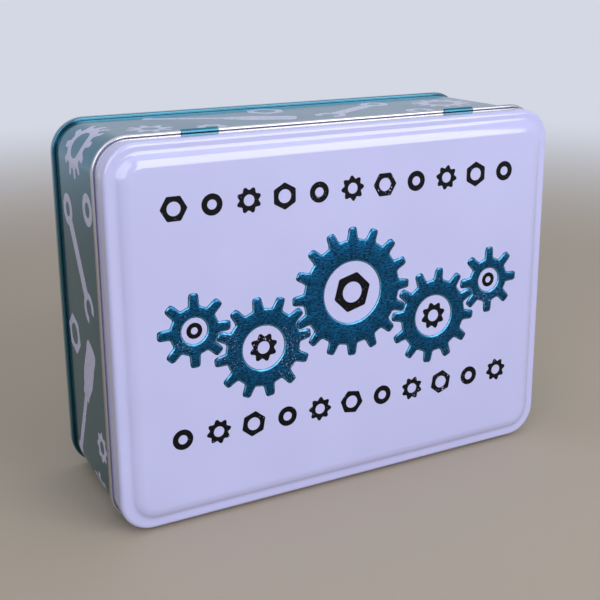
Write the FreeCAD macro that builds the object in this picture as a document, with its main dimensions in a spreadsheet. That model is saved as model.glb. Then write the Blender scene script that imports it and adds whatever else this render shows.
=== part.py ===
import FreeCAD, Part
import math
import os
import Sketcher

# Hinged tin box of pressed sheet, standing on its long front wall with the hinge on top.
# Each body is drawn as the tin lies on its base: x along the long side, y across to the
# hinge, z from the foot ring up to the lid. Its placement then stands the tin up, so that
# y becomes the height and the lid looks towards -Y.

# Driving dimensions in millimetres, or in degrees where the name ends in angle.
SIZES = {
    "tin_length": 200.0,
    "tin_width": 152.0,
    "tin_depth": 70.0,
    "corner_radius": 13.0,
    "sheet": 0.28,
    "skirt_depth": 10.7,
    "shoulder_radius": 1.7,
    "ledge_width": 4.4,
    "panel_corner_radius": 10.0,
    "slope_run": 5.3,
    "panel_raise": 2.3,
    "lid_clearance": 0.3,
    "mouth_drop": 2.0,
    "hem_depth": 4.0,
    "hem_gap": 0.06,
    "wire_diameter": 1.0,
    "wire_gap": 0.02,
    "running_clearance": 0.1,
    "curl_angle": 285.0,
    "tongue_width": 14.4,
    "tongue_spacing": 118.0,
    "tongue_thickness": 0.56,
    "tongue_dip_angle": 35.0,
    "tongue_side_gap": 0.5,
    "window_height": 3.6,
    "seam_height": 2.9,
    "seam_end_gap": 0.05,
    "body_hook": 1.6,
    "base_sink": 3.2,
    "base_gap": 0.05,
    "lap": 0.6,
    "cut_overrun": 1.0,
}
CURL_ARCS = 3
SEAM_LAYERS = 3

doc = FreeCAD.newDocument("tin_box")


class Size:
    """A size as its formula in the names of the sheet, with the value that it has now."""

    def __init__(self, formula, value):
        self.formula = formula
        self.value = value

    def __add__(self, other):
        return Size(f"({self.formula} + {other.formula})", self.value + other.value)

    def __sub__(self, other):
        return Size(f"({self.formula} - {other.formula})", self.value - other.value)

    def __neg__(self):
        return Size(f"(-{self.formula})", -self.value)

    def __mul__(self, other):
        if isinstance(other, Size):
            return Size(f"({self.formula} * {other.formula})", self.value * other.value)
        return Size(f"({self.formula} * {other})", self.value * other)

    def __truediv__(self, other):
        if isinstance(other, Size):
            return Size(f"({self.formula} / {other.formula})", self.value / other.value)
        return Size(f"({self.formula} / {other})", self.value / other)


def cosine(angle):
    return Size(f"cos({angle.formula})", math.cos(math.radians(angle.value)))


def sine(angle):
    return Size(f"sin({angle.formula})", math.sin(math.radians(angle.value)))


def tangent(angle):
    return Size(f"tan({angle.formula})", math.tan(math.radians(angle.value)))


def other_leg(long_side, leg):
    """The second short side of a right-angled triangle."""
    value = math.sqrt(long_side.value ** 2 - leg.value ** 2)
    return Size(f"sqrt({long_side.formula} ^ 2 - {leg.formula} ^ 2)", value)


def fill_sheet():
    """Writes the driving dimensions to the sheet, and gives each as a Size."""
    table = doc.addObject("Spreadsheet::Sheet", "sizes")
    named = {}
    for row, (name, value) in enumerate(SIZES.items(), start=1):
        table.set(f"A{row}", name)
        table.set(f"B{row}", str(value))
        table.setAlias(f"B{row}", name)
        named[name] = Size(f"sizes.{name}", value)
    doc.recompute()
    return named


sizes = fill_sheet()
zero = Size("0", 0.0)
half_turn = Size("180", 180.0)
quarter_turn = half_turn / 2

sheet = sizes["sheet"]
lap = sizes["lap"]
overrun = sizes["cut_overrun"]
clearance = sizes["lid_clearance"]
half_length = sizes["tin_length"] / 2
half_width = sizes["tin_width"] / 2
depth = sizes["tin_depth"]
corner = sizes["corner_radius"]

# The lid's edge is curled outwards round the hinge wire, and its outside runs on from the
# inside of the skirt. The bead is that curl, its level measured from the foot ring.
wire_radius = sizes["wire_diameter"] / 2
curl_inner = wire_radius + sizes["wire_gap"]
curl_outer = curl_inner + sheet
bead_inset = sheet - curl_outer
bead_level = depth - sizes["skirt_depth"]
bead_reach = curl_outer - bead_inset

# The tongues run on from the wall and turn round the wire, so the wall lies level with their
# inside. Below the bead the wall steps in to the neck that the lid slides over.
tongue_inner = wire_radius + sizes["running_clearance"]
tongue_outer = tongue_inner + sizes["tongue_thickness"]
wall_inset = bead_inset + tongue_inner
neck_inset = sheet + clearance
neck_start = bead_level - curl_outer - clearance
neck_end = neck_start + neck_inset - wall_inset
mouth = depth - sizes["mouth_drop"]

# The foot ring sticks out as far as the bead, so that the tin stands level on both. Outside
# the wall its layers are the cover hook, the body hook and the ring, with equal gaps.
seam_gap = (bead_reach + wall_inset) / SEAM_LAYERS - sheet
cover_inner = wall_inset - seam_gap
hook_inner = cover_inner - sheet - seam_gap
ring_inner = hook_inner - sheet - seam_gap
flange_bottom = sheet + sizes["seam_end_gap"]
flange_top = flange_bottom + sheet

# Where the tin stands: its lowest edges at zero height, and its depth halved.
standing_height = half_width + bead_reach
middle_depth = (depth + sizes["panel_raise"]) / 2


def bind(item, name, size):
    item.setExpression(name, size.formula)


def make_body(label):
    body = doc.addObject("PartDesign::Body", label)
    body.Label = label
    body.Placement.Rotation = FreeCAD.Rotation(FreeCAD.Vector(1, 0, 0), quarter_turn.value)
    bind(body, "Placement.Base.y", middle_depth)
    bind(body, "Placement.Base.z", standing_height)
    return body


def origin_plane(body, role):
    return [item for item in body.Origin.OriginFeatures if item.Role == role][0]


def make_sketch(body, name, role, offset):
    sketch = body.newObject("Sketcher::SketchObject", name)
    sketch.AttachmentSupport = [(origin_plane(body, role), "")]
    sketch.MapMode = "FlatFace"
    bind(sketch, "AttachmentOffset.Base.z", offset)
    return sketch


def add_size(sketch, kind, places, size):
    """One driving dimension of a sketch, bound to its formula."""
    index = sketch.addConstraint(Sketcher.Constraint(kind, *places, size.value))
    bind(sketch, f"Constraints[{index}]", size)


def arc_between(first, last, radius, turn):
    """The shorter arc from first to last, anticlockwise where turn is 1, clockwise for -1."""
    chord = last - first
    across = FreeCAD.Vector(-chord.y, chord.x, 0).normalize()
    rise = math.sqrt(radius ** 2 - (chord.Length / 2) ** 2)
    centre = (first + last) / 2 + across * rise * turn
    ends = [first, last][::turn]
    angles = [math.atan2(end.y - centre.y, end.x - centre.x) for end in ends]
    circle = Part.Circle(centre, FreeCAD.Vector(0, 0, 1), radius)
    return Part.ArcOfCircle(circle, *angles)


def draw_outline(sketch, corners):
    """Adds a closed outline. A corner is (x, y), or (x, y, radius, turn) where an arc leaves it."""
    points = [FreeCAD.Vector(item[0].value, item[1].value, 0) for item in corners]
    sides = []
    for item, first, last in zip(corners, points, points[1:] + points[:1]):
        is_arc = len(item) > 2
        clockwise = is_arc and item[3] < 0
        edge = arc_between(first, last, item[2].value, item[3]) if is_arc else Part.LineSegment(first, last)
        number = sketch.addGeometry(edge, False)
        start, end = (2, 1) if clockwise else (1, 2)
        sides.append((number, start, end))
    for side, following in zip(sides, sides[1:] + sides[:1]):
        meeting = (side[0], side[2], following[0], following[1])
        sketch.addConstraint(Sketcher.Constraint("Coincident", *meeting))
    for item, (number, start, _) in zip(corners, sides):
        add_size(sketch, "DistanceX", (-1, 1, number, start), item[0])
        add_size(sketch, "DistanceY", (-1, 1, number, start), item[1])
        if len(item) > 2:
            add_size(sketch, "Radius", (number,), item[2])


def rounded_rectangle(inset, radius):
    """Corners of the lid's outline drawn in by inset, anticlockwise, with round corners."""
    x, y = half_length - inset, half_width - inset
    corners = []
    for right, up in ((1, -1), (1, 1), (-1, 1), (-1, -1)):
        on_end = (x * right, (y - radius) * up)
        on_side = ((x - radius) * right, y * up)
        first, last = (on_end, on_side) if right == up else (on_side, on_end)
        corners.append((*first, radius, 1))
        corners.append(last)
    return corners


def sweep(body, name, path_inset, path_radius, section):
    """A section of sheet, as insets from the lid's outline and levels, carried round the tin."""
    path = make_sketch(body, f"{name}_path", "XY_Plane", zero)
    draw_outline(path, rounded_rectangle(path_inset, path_radius))
    profile = make_sketch(body, f"{name}_section", "YZ_Plane", half_length - path_inset - path_radius)
    draw_outline(profile, [(half_width - item[0], *item[1:]) for item in section])
    pipe = body.newObject("PartDesign::AdditivePipe", name)
    pipe.Profile = profile
    pipe.Spine = path
    doc.recompute()


def plate(body, name, level, *outlines):
    """A flat stretch of sheet above level. A second outline is the hole in it."""
    sketch = make_sketch(body, f"{name}_outline", "XY_Plane", level)
    for inset, radius in outlines:
        draw_outline(sketch, rounded_rectangle(inset, radius))
    pad = body.newObject("PartDesign::Pad", name)
    pad.Profile = sketch
    bind(pad, "Length", sheet)
    doc.recompute()


def tongue_places():
    """A name and the middle of each hinge tongue along the tin."""
    half_spacing = sizes["tongue_spacing"] / 2
    return (("left", -half_spacing), ("right", half_spacing))


def cut_beside_tongue(body, name, middle, inset, level, height):
    """A gap in the rear sheet for a tongue, from inset out past the bead."""
    before = body.Shape.Volume
    box = body.newObject("PartDesign::SubtractiveBox", name)
    box.AttachmentSupport = [(origin_plane(body, "XY_Plane"), "")]
    box.MapMode = "FlatFace"
    width = sizes["tongue_width"] + sizes["tongue_side_gap"] * 2
    bind(box, "Length", width)
    bind(box, "Width", inset + bead_reach + overrun)
    bind(box, "Height", height)
    bind(box, "AttachmentOffset.Base.x", middle - width / 2)
    bind(box, "AttachmentOffset.Base.y", half_width - inset)
    bind(box, "AttachmentOffset.Base.z", level)
    doc.recompute()
    if body.Shape.Volume >= before:
        raise RuntimeError(f"{name} cuts nothing")


def wall_section():
    """The wall from the hem at its mouth, over the neck and the step, down to the body hook."""
    fold = sheet + sizes["hem_gap"] / 2
    step_shift = sheet * tangent(quarter_turn / 4)
    hem_outer = neck_inset + sheet + sizes["hem_gap"]
    hem_inner = hem_outer + sheet
    hem_end = mouth - sizes["hem_depth"]
    hook_end = flange_bottom + sizes["body_hook"]
    return [
        (neck_inset, mouth - fold),
        (neck_inset, neck_end),
        (wall_inset, neck_start),
        (wall_inset, flange_top),
        (hook_inner, flange_top),
        (hook_inner, hook_end),
        (hook_inner - sheet, hook_end),
        (hook_inner - sheet, flange_bottom),
        (wall_inset + sheet, flange_bottom),
        (wall_inset + sheet, neck_start - step_shift),
        (neck_inset + sheet, neck_end - step_shift),
        (neck_inset + sheet, mouth - fold),
        (hem_outer, mouth - fold),
        (hem_outer, hem_end),
        (hem_inner, hem_end),
        (hem_inner, mouth - fold, fold, -1),
        (neck_inset + fold, mouth, fold, -1),
    ]


def tongue_outline():
    """A tongue seen from its end: out of the wall, up behind the wire, over it and down in front."""
    dip = sizes["tongue_dip_angle"]
    root_end = neck_start - lap
    axis = half_width - bead_inset
    wall_face = axis - tongue_inner
    rise = other_leg(tongue_outer, tongue_inner)

    def around(radius, out, lidward, *arc):
        return (axis + radius * out, bead_level + radius * lidward, *arc)

    def dipped(radius, lidward, *arc):
        across = (radius * sine(dip), radius * cosine(dip) * lidward)
        return (axis - across[0], bead_level + across[1], *arc)

    return [
        (wall_face, root_end),
        (wall_face, bead_level - rise, tongue_outer, 1),
        around(tongue_outer, 0, -1, tongue_outer, 1),
        around(tongue_outer, 1, 0, tongue_outer, 1),
        around(tongue_outer, 0, 1, tongue_outer, 1),
        dipped(tongue_outer, 1),
        dipped(tongue_inner, 1, tongue_inner, -1),
        around(tongue_inner, 0, 1, tongue_inner, -1),
        around(tongue_inner, 1, 0, tongue_inner, -1),
        around(tongue_inner, 0, -1, tongue_inner, -1),
        dipped(tongue_inner, -1),
        (wall_face - sheet, bead_level - tongue_inner * cosine(dip)),
        (wall_face - sheet, root_end),
    ]


def make_body_wall():
    body = make_body("body_wall")
    sweep(body, "wall", zero, corner, wall_section())
    for side, middle in tongue_places():
        inset = neck_inset + sheet + overrun
        cut_beside_tongue(body, f"window_{side}", middle, inset, neck_end, sizes["window_height"])
    for side, middle in tongue_places():
        start = middle - sizes["tongue_width"] / 2
        sketch = make_sketch(body, f"tongue_{side}_outline", "YZ_Plane", start)
        draw_outline(sketch, tongue_outline())
        pad = body.newObject("PartDesign::Pad", f"tongue_{side}")
        pad.Profile = sketch
        bind(pad, "Length", sizes["tongue_width"])
        doc.recompute()
    return body


def make_base_panel():
    """The panel, its wall inside the body, the foot ring and the hook of the double seam."""
    body = make_body("base_panel")
    ring_outer = ring_inner - sheet
    inside_wall = wall_inset + sheet + sizes["base_gap"]
    foot_inner = inside_wall + sheet
    sink = sizes["base_sink"]
    seam_top = sizes["seam_height"]
    cover_end = flange_top + seam_gap
    sweep(body, "seam", zero, corner, [
        (ring_outer, sheet, sheet, -1),
        (ring_outer + sheet, zero),
        (foot_inner - sheet, zero, sheet, -1),
        (foot_inner, sheet),
        (foot_inner, sink),
        (foot_inner + lap * 2, sink),
        (foot_inner + lap * 2, sink + sheet),
        (inside_wall, sink + sheet),
        (inside_wall, sheet),
        (ring_inner, sheet),
        (ring_inner, seam_top - sheet),
        (cover_inner - sheet, seam_top - sheet),
        (cover_inner - sheet, cover_end),
        (cover_inner, cover_end),
        (cover_inner, seam_top),
        (ring_outer + sheet, seam_top, sheet, -1),
        (ring_outer, seam_top - sheet),
    ])
    inset = foot_inner + lap
    plate(body, "panel", sink, (inset, corner - inset))
    return body


def rim_section():
    """The lid's edge from the ledge, round the shoulder and down the skirt to the outward curl."""
    shoulder = sizes["shoulder_radius"]

    def on_curl(radius, step, *arc):
        angle = half_turn + sizes["curl_angle"] * step / CURL_ARCS
        return (bead_inset - radius * cosine(angle), bead_level + radius * sine(angle), *arc)

    inside = [on_curl(curl_inner, step, curl_inner, 1) for step in range(CURL_ARCS)]
    outside = [on_curl(curl_outer, step, curl_outer, -1) for step in range(CURL_ARCS, 0, -1)]
    return [
        (zero, depth - shoulder),
        *inside,
        on_curl(curl_inner, CURL_ARCS),
        *outside,
        (sheet, bead_level),
        (sheet, depth - shoulder, shoulder - sheet, 1),
        (shoulder, depth - sheet),
        (shoulder + lap * 2, depth - sheet),
        (shoulder + lap * 2, depth),
        (shoulder, depth, shoulder, -1),
    ]


def slope_section():
    """The bend from the ledge up to the raised panel, one arc that meets the panel smoothly."""
    ledge = sizes["ledge_width"]
    run, rise = sizes["slope_run"], sizes["panel_raise"]
    arc = (run * run + rise * rise) / (rise * 2)
    inner_arc = arc - sheet
    inner_crease = ledge + run - other_leg(inner_arc, inner_arc - rise)
    panel_edge = ledge + run
    return [
        (ledge - lap * 2, depth - sheet),
        (ledge - lap * 2, depth),
        (ledge, depth, arc, 1),
        (panel_edge, depth + rise),
        (panel_edge + lap * 2, depth + rise),
        (panel_edge + lap * 2, depth + rise - sheet),
        (panel_edge, depth + rise - sheet, inner_arc, -1),
        (inner_crease, depth - sheet),
    ]


def make_lid_shell():
    body = make_body("lid_shell")
    ledge = sizes["ledge_width"]
    crease_radius = sizes["panel_corner_radius"]
    ledge_outer = sizes["shoulder_radius"] + lap
    ledge_inner = ledge - lap
    panel_inset = ledge + sizes["slope_run"] + lap
    panel_radius = crease_radius + ledge - panel_inset
    sweep(body, "rim", zero, corner, rim_section())
    plate(body, "ledge", depth - sheet, (ledge_outer, corner - ledge_outer), (ledge_inner, crease_radius + lap))
    sweep(body, "slope", ledge, crease_radius, slope_section())
    plate(body, "panel", depth + sizes["panel_raise"] - sheet, (panel_inset, panel_radius))
    for side, middle in tongue_places():
        level = bead_level - curl_outer - overrun
        top = bead_level + tongue_outer + sizes["tongue_side_gap"]
        cut_beside_tongue(body, f"notch_{side}", middle, sheet + overrun, level, top - level)
    return body


def make_hinge_wire():
    """The wire along the straight stretch of the rear bead, lying along X."""
    wire = doc.addObject("Part::Cylinder", "hinge_wire")
    wire.Label = "hinge_wire"
    half_wire = half_length - corner
    wire.Placement.Rotation = FreeCAD.Rotation(FreeCAD.Vector(0, 1, 0), quarter_turn.value)
    bind(wire, "Radius", wire_radius)
    bind(wire, "Height", half_wire * 2)
    bind(wire, "Placement.Base.x", -half_wire)
    bind(wire, "Placement.Base.y", middle_depth - bead_level)
    bind(wire, "Placement.Base.z", standing_height + half_width - bead_inset)
    doc.recompute()
    return wire


parts = [make_body_wall(), make_base_panel(), make_lid_shell(), make_hinge_wire()]
doc.recompute()

for item in doc.Objects:
    if "Invalid" in item.State or "Error" in item.State:
        raise RuntimeError(f"{item.Label} failed: {item.State}")
for part in parts:
    if part.Shape.isNull() or not part.Shape.isValid() or len(part.Shape.Solids) != 1:
        raise RuntimeError(f"{part.Label} is not one sound solid")

os.makedirs("parts", exist_ok=True)
for part in parts:
    part.Shape.exportStep(f"parts/{part.Label}.step")
    print(part.Label, round(part.Shape.Volume, 1), part.Shape.BoundBox)
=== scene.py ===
import math

import bpy
import numpy as np
from bpy.props import FloatProperty, FloatVectorProperty, IntProperty, PointerProperty
from bpy.types import Operator, Panel, PropertyGroup
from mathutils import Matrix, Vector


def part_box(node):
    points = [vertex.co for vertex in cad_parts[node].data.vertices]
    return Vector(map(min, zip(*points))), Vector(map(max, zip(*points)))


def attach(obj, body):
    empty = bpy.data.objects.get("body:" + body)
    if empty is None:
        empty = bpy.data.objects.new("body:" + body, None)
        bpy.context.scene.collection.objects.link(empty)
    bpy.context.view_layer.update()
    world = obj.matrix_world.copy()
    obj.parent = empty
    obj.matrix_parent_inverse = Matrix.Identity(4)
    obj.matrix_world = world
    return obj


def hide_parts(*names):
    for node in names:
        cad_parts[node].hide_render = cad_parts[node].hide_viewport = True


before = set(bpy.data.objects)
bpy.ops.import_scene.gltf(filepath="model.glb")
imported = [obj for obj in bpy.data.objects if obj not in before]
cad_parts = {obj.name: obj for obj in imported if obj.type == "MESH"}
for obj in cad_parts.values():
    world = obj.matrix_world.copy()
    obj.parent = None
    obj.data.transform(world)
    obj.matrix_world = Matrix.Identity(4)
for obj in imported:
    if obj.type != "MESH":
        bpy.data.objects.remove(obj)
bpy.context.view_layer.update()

bl_info = {
    "name": "Hinged tin box",
    "version": (1, 0, 0),
    "blender": (4, 5, 0),
    "location": "View3D > Sidebar > Tin box",
    "description": "Dresses the solids of a hinged tin box with printed and bare sheet metal",
    "category": "Object",
}

MM = 0.001
IMAGE_SIDE = 600

# Where the tin is, from its solids. The bead and the foot ring reach as far out as each other,
# levels run from the foot ring towards the lid, and insets run in from the lid's outline.
LID_LOW, LID_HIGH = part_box("lid_shell")
WIRE_LOW, WIRE_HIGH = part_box("hinge_wire")
FOOT_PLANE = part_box("base_panel")[1].y
PANEL_LEVEL = FOOT_PLANE - LID_LOW.y
BEAD_LEVEL = FOOT_PLANE - (WIRE_LOW.y + WIRE_HIGH.y) / 2
MIDDLE_HEIGHT = (LID_LOW.z + LID_HIGH.z) / 2


def linear(*shades):
    """A colour given as display shades from 0 to 255, as linear light."""
    levels = np.array(shades) / 255
    low = levels / 12.92
    high = ((levels + 0.055) / 1.055) ** 2.4
    return tuple(np.where(levels <= 0.04045, low, high).tolist())


def length(label, words, millimetres):
    return FloatProperty(
        name=label, description=words, default=millimetres * MM, min=0.0, unit="LENGTH", precision=5
    )


def tint(label, words, *shades):
    return FloatVectorProperty(
        name=label, description=words, default=linear(*shades), min=0.0, max=1.0, subtype="COLOR"
    )


def power(label, words, watts):
    return FloatProperty(name=label, description=words, default=watts, min=0.0, unit="POWER")


class TinSheetSizes(PropertyGroup):
    """Sizes of the pressed sheet."""

    sheet: length("Sheet", "Thickness of the tinplate", 0.28)
    corner_radius: length("Corner radius", "Radius of the lid's outline at its corners", 13.0)
    reach: length("Reach", "How far the bead and the foot ring stand out from the lid's skirt", 1.32)
    shoulder_radius: length("Shoulder radius", "Bend from the lid's ledge to its skirt", 1.7)
    ledge_width: length("Ledge width", "From the skirt in to the crease of the raised panel", 4.4)
    crease_radius: length("Crease radius", "Corner radius of the crease", 10.0)
    crease_ease: length("Crease ease", "How far the crease is rounded to each side", 1.2)
    slope_run: length("Slope run", "Width of the slope up to the raised panel", 5.3)
    panel_raise: length("Panel raise", "Height of the raised panel over the ledge", 2.3)
    panel_margin: length("Panel margin", "Flat ring round the middle of a panel", 2.0)
    curl_radius: length("Curl radius", "Inside radius of the curl at the lid's edge", 0.52)
    lid_clearance: length("Lid clearance", "Gap between the neck and the lid's skirt", 0.3)
    wall_inset: length("Wall inset", "How far the wall lies in from the lid's skirt", 0.08)
    neck_start: length("Neck start", "Level at which the wall steps in under the lid", 58.2)
    mouth: length("Mouth", "Level of the wall's mouth", 68.0)
    hem_depth: length("Hem depth", "Depth of the fold at the mouth", 4.0)
    hem_gap: length("Hem gap", "Gap inside the fold at the mouth", 0.06)
    seam_height: length("Seam height", "Height of the foot ring", 2.9)
    seam_round: length("Seam round", "Bend along the top of the foot ring", 0.6)
    seam_gap: length("Seam gap", "Gap between the layers of the foot ring", 0.187)
    seam_end_gap: length("Seam end gap", "Gap between the wall's flange and the foot", 0.05)
    body_hook: length("Body hook", "Length of the wall's hook in the foot ring", 1.6)
    base_sink: length("Base sink", "How deep the base lies in the foot ring", 3.2)
    base_gap: length("Base gap", "Gap between the wall and the base inside it", 0.05)


class TinHingeSizes(PropertyGroup):
    """Sizes of the wire hinge."""

    wire_radius: length("Wire radius", "Radius of the hinge wire", 0.5)
    tongue_width: length("Tongue width", "Width of a hinge tongue", 14.4)
    tongue_spacing: length("Tongue spacing", "From the middle of one tongue to the other", 118.0)
    tongue_inner: length("Tongue inside", "Inside radius of a tongue round the wire", 0.6)
    tongue_outer: length("Tongue outside", "Outside radius of a tongue round the wire", 1.16)
    tongue_proud: length("Tongue proud", "How far a tongue's root stands out from the wall", 0.005)
    notch_margin: length("Notch margin", "Gap between a tongue and the lid's notch", 0.5)
    window_height: length("Window height", "Height of the slot behind a tongue", 3.6)


class TinPrintSizes(PropertyGroup):
    """Sizes of the raised foil and the printed motifs."""

    foil_raise: length("Foil raise", "Height of the foil motifs over the lid", 0.5)
    foil_edge: length("Foil edge", "Width of the sloping edge of the foil motifs", 0.85)
    ink_raise: length("Ink raise", "Thickness of the printed motifs", 0.03)
    ink_sink: length("Ink sink", "How far prints reach into the sheet below them", 0.05)
    cog_module: length("Cog module", "Pitch diameter of the lid's cogs over their teeth", 3.1)
    border_pitch: length("Border pitch", "Spacing of the small motifs on the lid", 15.0)
    border_count: IntProperty(
        name="Border count", description="Small motifs in a row on the lid", default=11, min=1
    )


class TinColours(PropertyGroup):
    """Colours of the finishes."""

    lacquer: tint("Lacquer", "Lilac-white lacquer of the lid", 193, 196, 243)
    teal: tint("Teal", "Teal metallic print of the wall and base", 56, 113, 132)
    foil: tint("Foil", "Teal foil of the raised motifs", 12, 96, 148)
    # A painted highlight: the lighter colour given to the foil's sloping edges, in place of the glint of
    # light on them.
    foil_edge_highlight: tint("Thin foil", "Foil stretched thin over the edges of the raised motifs", 96, 172, 204)
    pale_ink: tint("Pale ink", "Motifs printed on the wall", 190, 193, 228)
    black_ink: tint("Black ink", "Small motifs printed on the lid", 7, 7, 13)
    tin: tint("Tin", "Bare tinplate", 190, 188, 193)
    steel: tint("Steel", "Hinge wire", 190, 190, 194)
    floor: tint("Floor", "Pale studio floor", 182, 170, 154)
    surround: tint("Surround", "Pale surround of the studio", 212, 216, 228)


class TinStage(PropertyGroup):
    """Camera and lights."""

    camera_place: FloatVectorProperty(
        name="Camera place", description="Where the camera stands", default=(-0.19324, -0.36521, 0.20681),
        subtype="TRANSLATION", unit="LENGTH",
    )
    camera_turn: FloatVectorProperty(
        name="Camera turn", description="Turn of the camera",
        default=tuple(math.radians(angle) for angle in (75.6355, 0.5367, -27.133)), subtype="EULER",
    )
    focal_pixels: FloatProperty(
        name="Focal length", description="Focal length in pixels of the square image",
        default=983.05, min=1.0, subtype="PIXEL",
    )
    middle_pixels: FloatVectorProperty(
        name="Optical middle", description="Where the optical axis meets the image, in pixels",
        default=(295.5, 235.5), size=2,
    )
    ambient: FloatProperty(
        name="Ambient", description="Light from all round", default=0.39, min=0.0, max=1.0, subtype="FACTOR"
    )
    window_power: power("Window", "Power of the window light", 11.6)
    ceiling_power: power("Ceiling", "Power of the ceiling light", 16.0)
    fill_power: power("Fill", "Power of the fill light on the left", 8.4)


# Curves of a section, as rows of (inset, level).


def polar(reach, angles):
    """Points at a reach from the middle, along angles in radians."""
    return np.column_stack([reach * np.cos(angles), reach * np.sin(angles)])


def full_turn(steps):
    """Evenly spaced angles of a full turn, in radians."""
    return np.linspace(0, 2 * math.pi, steps, endpoint=False)


def arc(centre, radius, start, end, steps):
    """Points of an arc: the centre plus the radius times the cosine and sine of evenly spaced angles."""
    return np.array(centre) + polar(radius, np.radians(np.linspace(start, end, steps)))


def eased(first, corner, last, steps):
    """A rounded corner: the parabola that leaves first and reaches last along the corner's two sides."""
    share = np.linspace(0, 1, steps)[:, None]
    first, corner, last = (np.array(point) for point in (first, corner, last))
    return (1 - share) ** 2 * first + 2 * share * (1 - share) * corner + share ** 2 * last


def joined(*runs):
    return np.concatenate([np.atleast_2d(run) for run in runs])


def flat(first, last):
    """Two points near the ends of a straight run, which keep its shading flat between two bends."""
    near, first, last = 0.1, np.array(first), np.array(last)
    return np.array([(1 - near) * first + near * last, near * first + (1 - near) * last])


def lid_side(sizes, hinge, behind):
    """One side of the lid's sheet, from its panel down to the end of the curl.

    The side lies behind the printed face by the given distance. The slope, shoulder and curl are arcs
    about the same centres on both sides. Gives the rows, and which of them bound the hinge notches.
    """
    ledge_level = PANEL_LEVEL - sizes.panel_raise
    bend = (sizes.slope_run ** 2 + sizes.panel_raise ** 2) / (2 * sizes.panel_raise)
    panel_edge = sizes.ledge_width + sizes.slope_run
    radius = bend - behind
    crease_angle = 180 - math.degrees(math.asin((radius - sizes.panel_raise) / radius))
    ease_angle = math.degrees(sizes.crease_ease / radius)
    slope = arc((panel_edge, PANEL_LEVEL - bend), radius, 90, crease_angle - ease_angle, 14)
    crease = panel_edge + radius * math.cos(math.radians(crease_angle))
    ledge = ledge_level - behind
    valley = eased(slope[-1], (crease, ledge), (crease - sizes.crease_ease, ledge), 6)
    shoulder_middle = (sizes.shoulder_radius, ledge_level - sizes.shoulder_radius)
    shoulder = arc(shoulder_middle, sizes.shoulder_radius - behind, 90, 180, 12)
    notch_level = BEAD_LEVEL + hinge.tongue_outer + hinge.notch_margin
    curl_end = -285
    curl = arc((-sizes.curl_radius, BEAD_LEVEL), sizes.curl_radius + behind, 0, curl_end, 26)
    panel = [(panel_edge + sizes.panel_margin, PANEL_LEVEL - behind)]
    notch = (behind, notch_level)
    ledge_run, skirt_run = flat(valley[-1], shoulder[0]), flat(shoulder[-1], notch)
    before_notch = joined(panel, slope, valley[1:], ledge_run, shoulder, skirt_run)
    rows = joined(before_notch, [notch], flat(notch, curl[0]), curl)
    return rows, (len(before_notch), len(rows) - 1)


def wall_side(sizes, hinge, behind):
    """One side of the wall's sheet, from the hem at its mouth over the neck down to the hook of the seam.

    The fold is a half circle, the step under the lid is at half a right angle, and the hook turns out
    and up. Gives the rows, and which of them bound the hinge windows.
    """
    fold = sizes.sheet + sizes.hem_gap / 2
    neck = sizes.sheet + sizes.lid_clearance
    fold_middle = (neck + fold, sizes.mouth - fold)
    turn = arc(fold_middle, fold - behind, 0, 180, 12)
    hem_end = (turn[0][0], sizes.mouth - sizes.hem_depth)
    neck_end = sizes.neck_start + neck - sizes.wall_inset
    step_angle = 45
    step_shift = behind * math.tan(math.radians(step_angle / 2))
    flange = sizes.sheet * 2 + sizes.seam_end_gap - behind
    hook = sizes.wall_inset - sizes.seam_gap * 2 - sizes.sheet - behind
    hook_end = sizes.sheet + sizes.seam_end_gap + sizes.body_hook
    window_top = neck_end + hinge.window_height
    before_window = joined([hem_end], turn)
    rows = joined(
        before_window,
        [(neck + behind, window_top)],
        [(neck + behind, neck_end)],
        [(neck + behind, neck_end - step_shift)] if behind else [(neck, neck_end - sizes.base_gap)],
        [(sizes.wall_inset + behind, sizes.neck_start - step_shift)],
        [(sizes.wall_inset + behind, flange)],
        [(hook, flange)],
        [(hook, hook_end)],
    )
    return rows, (len(before_window), len(before_window) + 1)


def base_side(sizes, hinge, behind):
    """One side of the base's sheet, from its panel down round the foot, up the ring and into the seam.

    Gives the rows, of which the hinge cuts none.
    """
    inside = sizes.wall_inset + sizes.sheet + sizes.base_gap
    ring = sizes.sheet - sizes.reach
    cover = sizes.wall_inset - sizes.base_gap
    bend = max(sizes.sheet - behind, sizes.sheet / 10)
    panel = sizes.base_sink + behind
    root = inside + sizes.sheet - behind
    corner = eased((root + sizes.sheet / 2, panel), (root, panel), (root, panel - sizes.sheet), 5)
    foot_in = arc((inside, sizes.sheet), bend, 0, -90, 8)
    foot_out = arc((ring, sizes.sheet), bend, -90, -180, 8)
    crown = (sizes.seam_round - sizes.reach, sizes.seam_height - sizes.seam_round)
    top_out = arc(crown, sizes.seam_round - behind, 180, 90, 10)
    tight = min(bend, sizes.sheet / 3)
    top_in = arc((cover - behind - tight, sizes.seam_height - behind - tight), tight, 90, 0, 8)
    bends = (corner, foot_in, foot_out, top_out, top_in)
    runs = [corner]
    for before, after in zip(bends, bends[1:]):
        runs += [flat(before[-1], after[0]), after]
    panel_rows = [(root + sizes.panel_margin, panel), (root + sizes.sheet, panel)]
    seam_end = (cover - behind, sizes.sheet * 2 + sizes.seam_end_gap + sizes.seam_gap)
    return joined(panel_rows, *runs, seam_end), None


def tongue_side(sizes, hinge, outside):
    """One side of a hinge tongue, from the wall up and round the wire, as a line and an arc."""
    least_drop, hook_end = 0.82, -305
    radius = hinge.tongue_outer if outside else hinge.tongue_inner
    root = sizes.wall_inset - hinge.tongue_proud if outside else sizes.wall_inset + sizes.sheet
    drop = math.sqrt(max(radius ** 2 - hinge.tongue_inner ** 2, (radius * least_drop) ** 2))
    start = math.degrees(math.atan2(-drop, root + sizes.curl_radius))
    return joined(
        [(root, sizes.neck_start - sizes.sheet * 2)],
        arc((-sizes.curl_radius, BEAD_LEVEL), radius, start, hook_end, 30),
    )


# Paths round the tin, and meshes on grids.


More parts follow.
